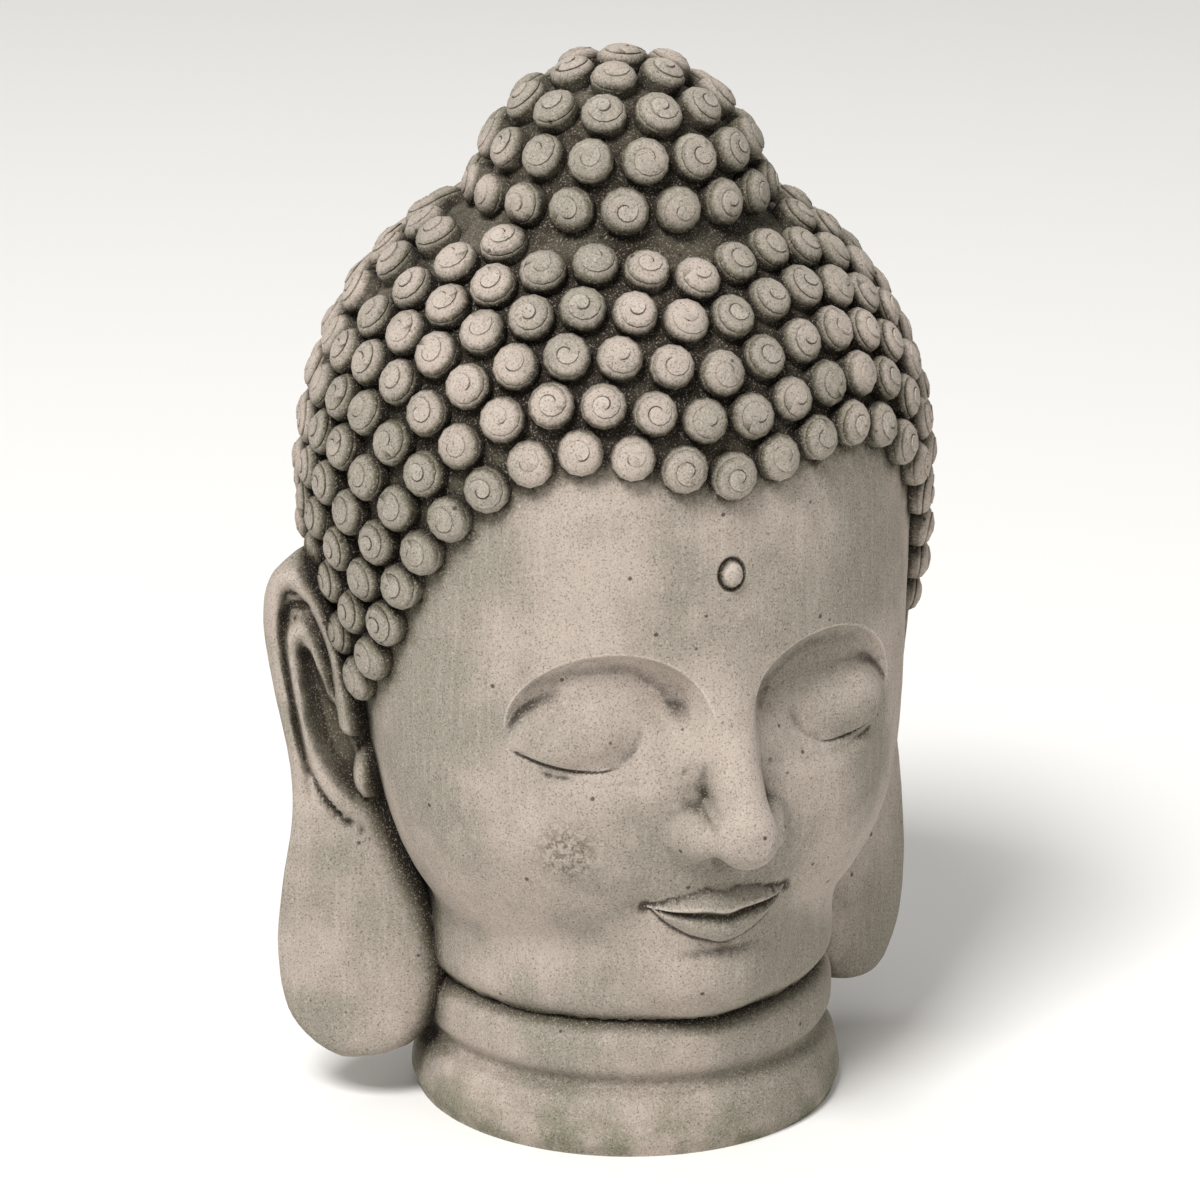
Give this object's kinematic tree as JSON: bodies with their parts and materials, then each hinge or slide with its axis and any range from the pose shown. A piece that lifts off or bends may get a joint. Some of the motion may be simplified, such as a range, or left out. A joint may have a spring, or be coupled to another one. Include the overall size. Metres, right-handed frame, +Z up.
{
  "type": "stone buddha head",
  "caption": "Garden head of cast stone with snail-shell curls, a raised crown, closed eyes and long ear lobes, standing on its flat-cut neck.",
  "frame": {"origin": "centre of the flat underside of the neck", "axes": "+Z up, the face looks along -Y, the head's own right ear is on -X"},
  "size_m": [0.3374, 0.3068, 0.5],
  "materials": {
    "cast_stone": "matt warm grey cast stone, fine sand grain, dark patina in the hollows"
  },
  "bodies": {
    "root": {"buddha_head": "cast_stone"}
  },
  "joints": []
}
